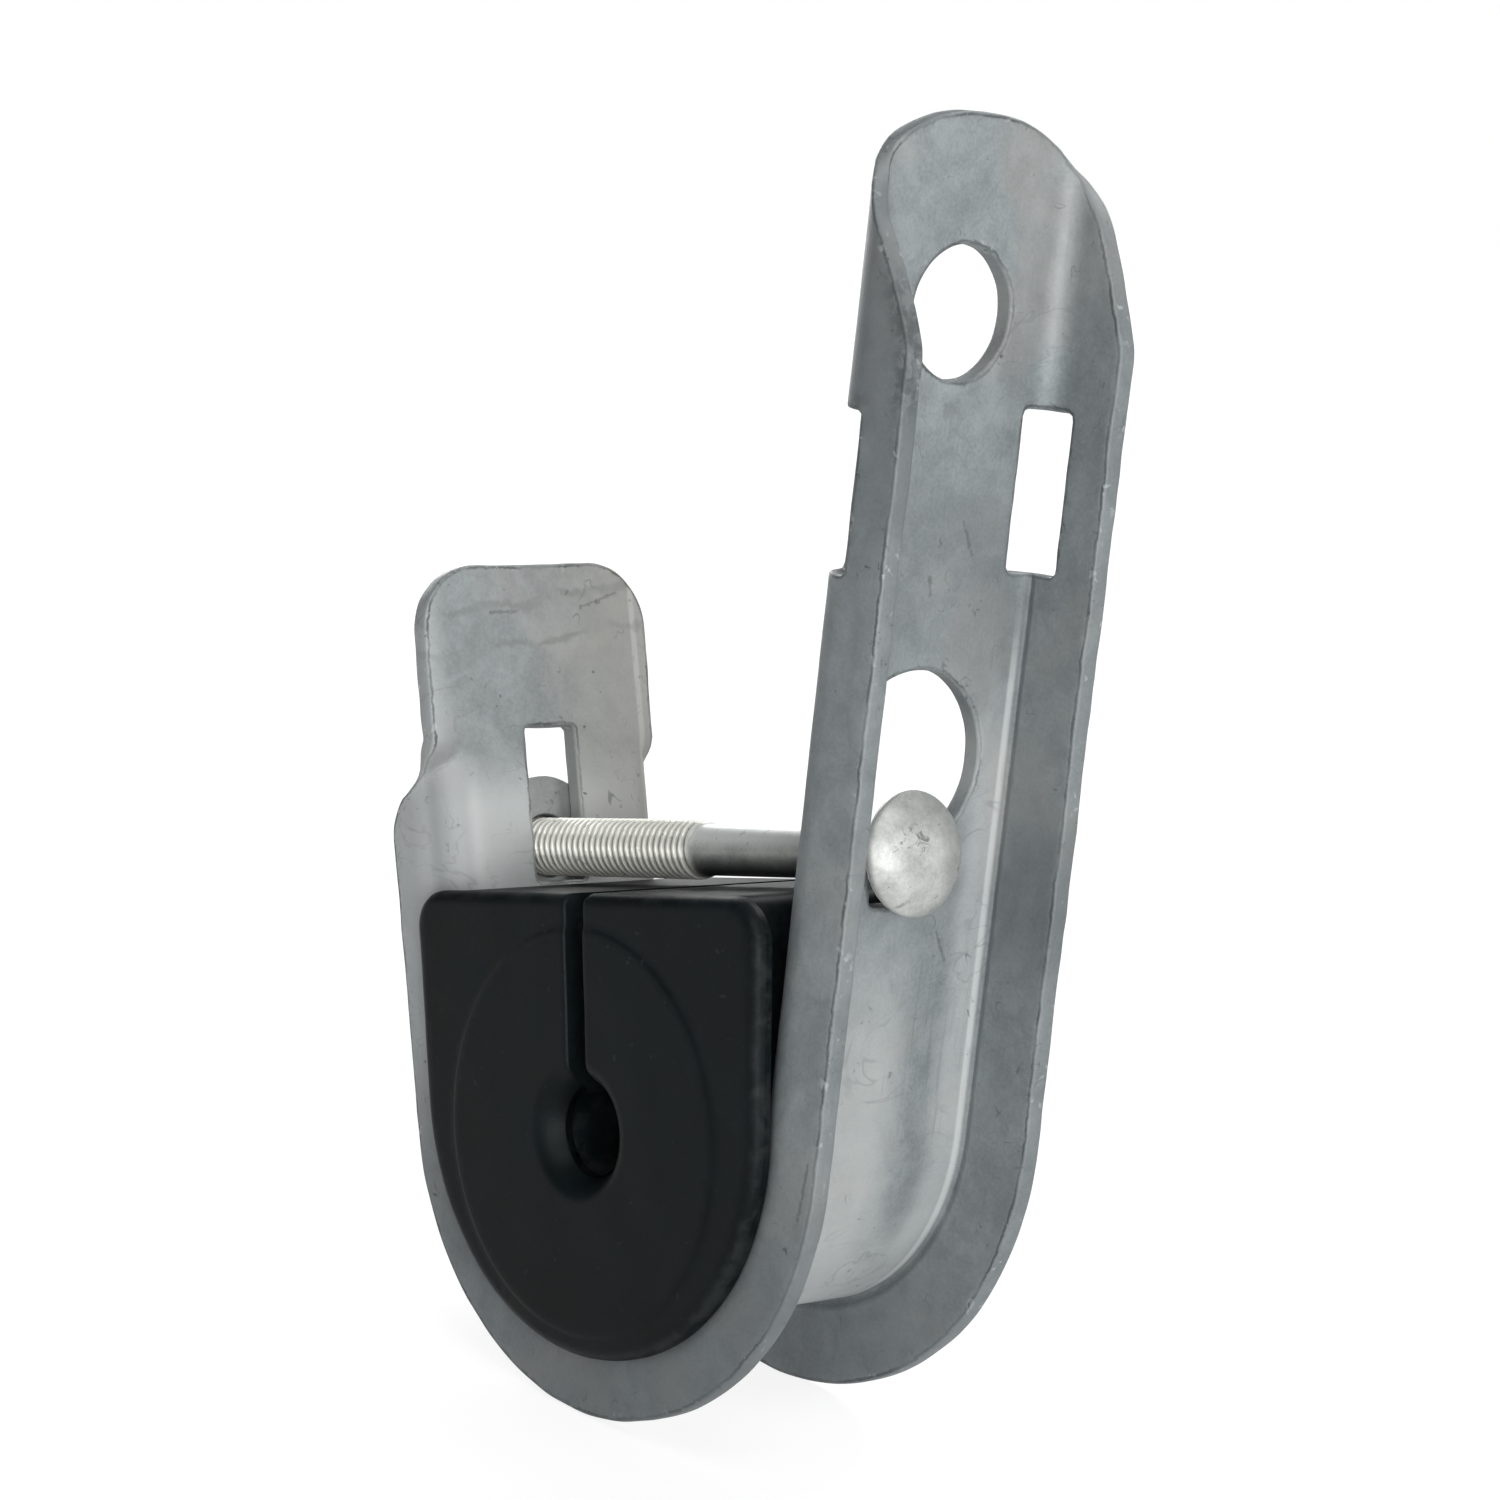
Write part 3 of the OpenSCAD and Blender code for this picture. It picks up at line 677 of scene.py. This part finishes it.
def wedge_side(r, corner):
    """One side of the insert's outline, from the bottom up to the slit, as (across, height) points."""
    slope = math.sin(WEDGE)
    centre = ((r - corner) + (INSERT_TOP - corner) * slope) / math.cos(WEDGE)
    round_part = [(r * math.sin(a), -r * math.cos(a)) for a in np.linspace(0, math.pi / 2 - WEDGE, 60)]
    turn = [(centre + corner * math.cos(a), INSERT_TOP - corner + corner * math.sin(a))
            for a in np.linspace(-WEDGE, math.pi / 2, 14)]
    low, high = np.array(round_part[-1]), np.array(turn[0])
    straight = [tuple(low + (high - low) * k) for k in np.linspace(0, 1, 40)[1:-1]]
    return round_part + straight + turn


def insert_loop(r, near_corner, far_corner):
    """Closed outline of the insert: outer edge first, then slit and bore; the point count depends on nothing."""
    right, left = wedge_side(r, near_corner), wedge_side(r, far_corner)
    right = [(u - 0.6 * min(1, max(0, (w + 22) / 22)), w) for u, w in right]
    outer = [(-u, w) for u, w in left[:0:-1]] + right
    flat = np.linspace(0, 1, 42)
    start = (BORE_U - SLIT_HALF, INSERT_TOP)
    stop = (BORE_U + SLIT_HALF, INSERT_TOP)
    head = [tuple(np.array(start) * (1 - k) + np.array(outer[0]) * k) for k in flat[:-1]]
    tail = [tuple(np.array(outer[-1]) * (1 - k) + np.array(stop) * k) for k in flat[1:]]
    outer = head + outer + tail
    join = math.acos((SLIT_HALF + 0.9) / BORE_R)
    mouth_top = BORE_W + BORE_R * math.sin(join)
    wall = [(BORE_U + SLIT_HALF, w) for w in np.linspace(INSERT_TOP, mouth_top + 2.6, 34)[1:]]
    wall += [(BORE_U + SLIT_HALF + 0.12, mouth_top + 1.7), (BORE_U + SLIT_HALF + 0.4, mouth_top + 0.8)]
    ring = [(BORE_U + BORE_R * math.cos(a), BORE_W + BORE_R * math.sin(a))
            for a in np.linspace(join, -math.pi - join, 56)]
    notch = wall + ring + [(2 * BORE_U - u, w) for u, w in reversed(wall)]
    return np.array(outer), np.array(notch)


def insert_mesh():
    outer, notch = insert_loop(LIP_R, 6.0, 5.0)
    core, _ = insert_loop(CORE_R, 2.0, 2.0)
    n_out, n_all = len(outer), len(outer) + len(notch)
    loop = np.vstack([outer, notch])
    open_outer, open_notch = outer, np.vstack([outer[-1:], notch, outer[:1]])
    axis = np.arange(-37, 37.1, 0.95)
    grid = np.stack(np.meshgrid(axis, axis, indexing="ij"), -1).reshape(-1, 2)
    edge_r, slit_r = 1.7, 0.35
    turns = np.arange(0, 2 * math.pi, 1 / 27)
    rings = [(BORE_U + k * np.cos(turns), BORE_W + k * np.sin(turns)) for k in (26.55, 26.85, 27.15, 27.45)]
    rings += [(BORE_U + k * np.cos(turns[::3]), BORE_W + k * np.sin(turns[::3])) for k in np.arange(6.8, 10.2, 0.45)]
    near = np.hypot(grid[:, 0] - BORE_U, grid[:, 1] - BORE_W)
    grid = grid[(np.abs(near - RING_R) > 0.9) & (near > 10.4)]
    extra = np.hstack([np.array(k) for k in rings]).T
    grid = np.vstack([grid, extra])
    flat, faces, rims = fill_sheet([loop], (0.15, 0.5, 1.0, 1.6), grid)

    def gap(line):
        a, b = line[:-1], line[1:]
        best = np.full(len(flat), 1e9)
        for k in range(0, len(flat), 2000):
            q = flat[k:k + 2000, None]
            u = np.clip(((q - a) * (b - a)).sum(2) / (((b - a) ** 2).sum(1) + 1e-12), 0, 1)
            best[k:k + 2000] = np.linalg.norm(q - a - u[..., None] * (b - a), axis=2).min(1)
        return best

    def drop(distance, r):
        d = np.clip(distance, 0, r)
        return r - np.sqrt(np.maximum(r * r - (r - d) ** 2, 0))

    centre = np.hypot(flat[:, 0] - BORE_U, flat[:, 1] - BORE_W)
    funnel = MOUTH_DEPTH * np.clip((MOUTH_R - centre) / (MOUTH_R - BORE_R), 0, 1) ** 2.2
    step = np.clip((centre - RING_R + 0.45) / 0.9, 0, 1)
    depth = drop(gap(open_outer), edge_r) + drop(gap(open_notch), slit_r) + funnel + RING_STEP * step * step * (3 - 2 * step)
    depth += np.array([noise.noise(Vector((u / 8, w / 8, 0))) for u, w in flat]) * 0.08
    count = len(flat)
    front = np.stack([flat[:, 0], -INSERT_HALF + depth, flat[:, 1]], 1)
    back = front * (1, -1, 1)
    points, rings_at = [front, back], []
    base = 2 * count
    for ring, y in ((loop, -LIP_BACK), (np.vstack([core, notch]), -LIP_BACK), (np.vstack([core, notch]), LIP_BACK), (loop, LIP_BACK)):
        points.append(np.stack([ring[:, 0], np.full(n_all, y), ring[:, 1]], 1))
        rings_at.append(list(range(base, base + n_all)))
        base += n_all
    for lip, inner in ((0, 1), (3, 2)):      # slit and bore share one row of points there, and so do the slit's corners
        rings_at[lip][n_out:] = rings_at[inner][n_out:]
        for k in (0, n_out - 1):
            rings_at[lip][k] = rings_at[inner][k]
    chain = [rims[0]] + rings_at + [[i + count for i in rims[0]]]
    made = [tuple(f) for f in faces] + [tuple(f[::-1] + count) for f in faces]
    for one, two in zip(chain, chain[1:]):
        for k in range(n_all):
            j = (k + 1) % n_all
            quad = [one[k], one[j], two[j], two[k]]
            quad = [v for i, v in enumerate(quad) if v not in quad[:i]]
            if len(quad) > 2:
                made.append(tuple(quad))
    points = np.vstack(points)
    edge = np.full(len(points), 0.8)
    edge[:2 * count] = np.tile(gap(open_outer), 2)
    return clamp_place(points), made, {"edge": edge}


# ---- Clamp bolt, washer and nut, turned about their axes

THREAD_R, SHANK_R, PITCH = 4.12, 3.5, 1.25
BOLT_LENGTH, THREAD_LENGTH, NECK = 90.0, 51.0, 5.0
CUP_R, RIM_H, DOME_H = 8.4, 1.2, 3.2
SAG = math.radians(0.5)                  # the bolt sits a little askew in its hole
HEAD_B = (WEB_OUT + 0.02 + CUP_R * math.sin(CLAMP_TILT)) / math.cos(CLAMP_TILT)
THREAD_B = HEAD_B - BOLT_LENGTH + THREAD_LENGTH
END_B = HEAD_B - BOLT_LENGTH
WASHER_R, WASHER_BORE, WASHER_T = 10.0, 4.5, 2.0
NUT_HALF, NUT_H = 6.5, 6.5
COLUMNS = 64
AROUND = np.linspace(0, 2 * math.pi, COLUMNS, endpoint=False)


def bolt_place(points):
    """Points along the bolt (X towards its head), in the part's frame."""
    p = np.asarray(points, float)
    away = HEAD_B - p[:, 0]
    p = np.stack([HEAD_B - away * math.cos(SAG), p[:, 1], p[:, 2] + away * math.sin(SAG) - 0.25], 1)
    c, s = math.cos(CLAMP_TILT), math.sin(CLAMP_TILT)
    return place(np.stack([p[:, 0] * c - p[:, 2] * s, p[:, 1], BOLT_Z + p[:, 0] * s + p[:, 2] * c], 1))


def leg_place(points):
    """Points square to the short leg (X outwards), in the part's frame."""
    p = np.asarray(points, float)
    c, s = math.cos(LEAN), math.sin(LEAN)
    return place(np.stack([-p[:, 0] * c - p[:, 2] * s, p[:, 1], -p[:, 0] * s + p[:, 2] * c], 1))


def turned(rows, closed=False):
    """Rows of (place along the axis, radius at each angle) joined into a skin, with end caps or as a ring."""
    points, faces = [], []
    for at, radius in rows:
        r = np.broadcast_to(radius, (COLUMNS,))
        points.append(np.stack([np.full(COLUMNS, at), r * np.cos(AROUND), r * np.sin(AROUND)], 1))
    count = len(rows)
    for k in range(count if closed else count - 1):
        a, b = k * COLUMNS, (k + 1) % count * COLUMNS
        for i in range(COLUMNS):
            j = (i + 1) % COLUMNS
            faces.append((a + i, a + j, b + j, b + i))
    if not closed:
        base = count * COLUMNS
        points.append(np.array([[rows[0][0], 0, 0], [rows[-1][0], 0, 0]], float))
        for i in range(COLUMNS):
            j = (i + 1) % COLUMNS
            faces.append((base, j, i))
            faces.append((base + 1, (count - 1) * COLUMNS + i, (count - 1) * COLUMNS + j))
    return np.vstack(points), faces


def bolt_mesh():
    rows, groove_shade = [], []
    depth = 0.8
    for b in np.arange(END_B, THREAD_B + 0.01, PITCH / 8):
        phase = (b / PITCH - AROUND / (2 * math.pi)) % 1.0
        groove = np.clip((np.abs(phase - 0.5) * 2 - 0.28) / 0.55, 0, 1)
        groove = groove * groove * (3 - 2 * groove)
        out = np.clip((THREAD_B - b) / 1.6, 0, 1)
        crest = SHANK_R + (THREAD_R - 0.02 - SHANK_R) * out ** 0.6
        radius = crest - depth * groove * np.clip(out * 1.5 - 0.2, 0, 1)
        rows.append((b, np.minimum(radius, THREAD_R - 0.9 + (b - END_B))))
        groove_shade.append(groove * np.clip(out * 1.5 - 0.2, 0, 1))
    rows += [(b, SHANK_R) for b in np.arange(THREAD_B + 0.4, HEAD_B - NECK - 0.8, 1.2)]
    square = np.minimum(THREAD_R / np.maximum(np.abs(np.cos(AROUND)), np.abs(np.sin(AROUND))), THREAD_R * 1.3)
    rows += [(HEAD_B - NECK - 0.5, SHANK_R), (HEAD_B - NECK, square - 0.1), (HEAD_B - NECK + 0.3, square), (HEAD_B - 0.3, square)]
    rows += [(HEAD_B, r) for r in (square + 0.3, square * 0.3 + 5.2, 7.6, 8.0)]
    rows += [(HEAD_B + RIM_H / 2 - RIM_H / 2 * math.cos(a), 7.85 + 0.55 * math.sin(a)) for a in np.linspace(0.5, 1.9, 5)]
    ball = (8.2 ** 2 + DOME_H ** 2) / (2 * DOME_H)
    top = HEAD_B + RIM_H + DOME_H
    for r in (8.2, 8.0, 7.6, 7.0, 6.3, 5.5, 4.7, 3.9, 3.1, 2.3, 1.5, 0.7):
        rows.append((top - ball + math.sqrt(ball * ball - r * r) - 0.12 * (r / 8.2) ** 6, r))
    points, faces = turned(rows)
    points[:, 1:] *= np.where(points[:, 0] > HEAD_B, 0.975, 1.0)[:, None]
    head = np.clip((points[:, 0] - HEAD_B - 0.4) / 0.8, 0, 1)
    points[:, 0] += head * wobble(points, 3.5, 0.16, 3.0)
    rim = np.hypot(points[:, 1], points[:, 2])
    swell = 1 + head * wobble(points, 5.0, 0.02, 9.0) * (rim > 5)
    points[:, 1:] *= swell[:, None]
    groove = np.zeros(len(points))
    groove[:len(groove_shade) * COLUMNS] = np.concatenate(groove_shade)
    thread = np.clip((THREAD_B - points[:, 0]) / 1.0, 0, 1)
    shank = (1 - thread) * (points[:, 0] < HEAD_B - 0.2)
    high = points[:, 2] / SHANK_R
    # Masks for the finish: painted highlights on the threaded part and the shank's top, painted shade under the shank;
    # groove carries painted shade in the thread.
    measures = {"groove": groove, "thread": thread, "top": shank * np.clip(high * 3 - 0.3, 0, 1),
                "under": shank * np.clip(-0.2 - high * 1.6, 0, 1)}
    return bolt_place(points), faces, measures


def washer_place():
    """Where the bolt axis meets the washer on the short leg: out from the U axis, and up the leg."""
    turn = LEAN - CLAMP_TILT
    out = WEB_OUT + 0.02
    along = -(out + WASHER_T / 2 + BOLT_Z * math.sin(LEAN)) / math.cos(turn)
    return out, BOLT_Z * math.cos(LEAN) - along * math.sin(turn)


def washer_mesh():
    out, up = washer_place()
    t, r, b, e = WASHER_T, WASHER_R, WASHER_BORE, 0.3
    rows = [(0, b + 0.15), (0, b + 2), (0, r - e), (0.1, r - 0.08), (e, r), (t - 0.2, r), (t - 0.05, r - 0.06), (t, r - 0.2),
            (t, b + 2), (t, b + 0.15), (t - 0.15, b), (0.15, b)]
    points, faces = turned(rows, closed=True)
    return leg_place(points + (out, 0, up + 0.45)), faces, {"flat": np.ones(len(points))}


def nut_mesh():
    turn = LEAN - CLAMP_TILT
    face_r = NUT_HALF * 0.95
    out = WEB_OUT + 0.02 + WASHER_T + 0.02
    start = -((out + BOLT_Z * math.sin(LEAN)) / math.cos(turn) + face_r * math.tan(turn)) - NUT_H
    sector = (AROUND + math.pi / 6) % (math.pi / 3) - math.pi / 6
    hexagon = NUT_HALF / np.cos(sector)
    bore = THREAD_R + 0.07
    rows = [(0, bore + 0.45), (0, face_r)]
    levels = [0.06, 0.14, 0.24, 0.36, 0.5, 0.68]
    rows += [(k, np.minimum(hexagon, face_r + 2 * k)) for k in levels]
    rows += [(NUT_H - k, np.minimum(hexagon, face_r + 2 * k)) for k in reversed(levels)]
    rows += [(NUT_H, face_r), (NUT_H, bore + 0.45), (NUT_H - 0.45, bore), (0.45, bore)]
    points, faces = turned(rows, closed=True)
    return bolt_place(points + (start, 0, 0)), faces, {"flat": np.ones(len(points)) * 0.4}


# ---- Camera, light and floor

def camera():
    """The photograph's viewing angle, fitted to the hook's edges, holes and slots."""
    azimuth, elevation, roll = 0.8337, 0.15384, 0.10761
    back = Vector((math.sin(azimuth) * math.cos(elevation), -math.cos(azimuth) * math.cos(elevation), math.sin(elevation)))
    level = Vector((math.cos(azimuth), math.sin(azimuth), 0))
    rise = back.cross(level)
    right = level * math.cos(roll) + rise * math.sin(roll)
    up = rise * math.cos(roll) - level * math.sin(roll)
    spot = back * 515.75 + right * 5.115 + up * 45.354
    made = bpy.data.cameras.new("camera")
    made.lens, made.sensor_width = 91.2, 36.0
    made.clip_start, made.clip_end = 0.01, 50.0
    holder = bpy.data.objects.new("camera", made)
    holder.matrix_world = Matrix.Translation(place([spot])[0]) @ Matrix((right, up, back)).transposed().to_4x4()
    bpy.context.scene.collection.objects.link(holder)
    bpy.context.scene.camera = holder


def lamp(name, at, power):
    """A soft round lamp that faces the middle of the part."""
    light = bpy.data.lights.new(name, "AREA")
    light.shape, light.size, light.energy = "DISK", 0.5, power
    holder = bpy.data.objects.new(name, light)
    holder.location = at
    holder.rotation_euler = (Vector((-0.02, 0, -0.08)) - Vector(at)).to_track_quat("-Z", "Y").to_euler()
    bpy.context.scene.collection.objects.link(holder)


def studio():
    floor_z = place([(0, 0, -TIP_R)])[0][2] - 0.0002
    mesh = bpy.data.meshes.new("floor")
    size = 12.0
    mesh.from_pydata([(-size, -size, floor_z), (size, -size, floor_z), (size, size, floor_z), (-size, size, floor_z)], [], [(0, 1, 2, 3)])
    floor = bpy.data.objects.new("floor", mesh)
    bpy.context.scene.collection.objects.link(floor)
    f = Finish("pale_floor")
    path = f.node("ShaderNodeLightPath", out="Is Camera Ray")
    glossy = f.node("ShaderNodeLightPath", out="Is Glossy Ray")
    through = f.node("ShaderNodeLightPath", out="Is Transmission Ray")
    seen = path.most(glossy).most(through)
    spot = f.node("ShaderNodeTexCoord", out="Object")
    away = f.node("ShaderNodeVectorMath", {"operation": "LENGTH"}, {0: spot}, out="Value")
    matte = f.node("ShaderNodeBsdfDiffuse", {}, {"Color": (0.8, 0.8, 0.8, 1)})
    glow = f.node("ShaderNodeEmission", {}, {"Color": (1, 1, 1, 1), "Strength": 1.12})
    mixed = f.node("ShaderNodeMixShader", {}, {0: seen * away.step(0.2, 0.7, 0.75, 1.0), 1: matte, 2: glow})
    f.node("ShaderNodeOutputMaterial", {}, {"Surface": mixed})
    mesh.materials.append(f.material)
    world = bpy.data.worlds.new("studio")
    bpy.context.scene.world = world
    world.use_nodes = True
    tree = world.node_tree
    tree.nodes.clear()
    w = Finish.__new__(Finish)
    w.tree = tree
    seen = w.node("ShaderNodeLightPath", out="Is Camera Ray")
    soft = w.node("ShaderNodeBackground", {}, {"Color": (0.94, 0.98, 1.0, 1), "Strength": 0.12})
    white = w.node("ShaderNodeBackground", {}, {"Color": (1, 1, 1, 1), "Strength": 1.0})
    both = w.node("ShaderNodeMixShader", {}, {0: seen, 1: soft, 2: white})
    w.node("ShaderNodeOutputWorld", {}, {"Surface": both})
    for name, at, power in (
            ("low", (0.6, -0.3, -0.12), 6.0), ("right", (0.82, -0.47, 0.12), 1.0), ("side", (0.7, 0.65, 0.25), 1.6),
            ("top", (0.5, -0.35, 0.8), 4.0), ("front", (0.62, -0.68, 0.2), 1.2), ("high", (0.45, -0.6, 0.6), 1.0),
            ("back", (-0.1, 0.7, 0.7), 6.0), ("rear", (-0.8, 0.3, 0.2), 5.0)):
        lamp(name, at, power)
    scene = bpy.context.scene
    scene.view_settings.view_transform = "Standard"


camera()
studio()
zinc, bolt_zinc, rubber = sheet_finish(), bolt_finish(), rubber_finish()
for name, mesh, finish, body, slot, node, angle in (
        ("pressed_hook", hook_sheet, zinc, "hanger", "zinc_sheet", "hook", 50),
        ("rubber_insert", insert_mesh, rubber, "hanger", "rubber", "insert", 40),
        ("cup_head_bolt", bolt_mesh, bolt_zinc, "hanger", "zinc_bolt", "clamp_bolt", 40),
        ("flat_washer", washer_mesh, bolt_zinc, "washer", "zinc_bolt", "washer", 40),
        ("hex_nut", nut_mesh, bolt_zinc, "nut", "zinc_bolt", "nut", 40)):
    points, faces, measures = mesh()
    fix_normals(new_piece(name, points, faces, finish, body, node, angle, measures))
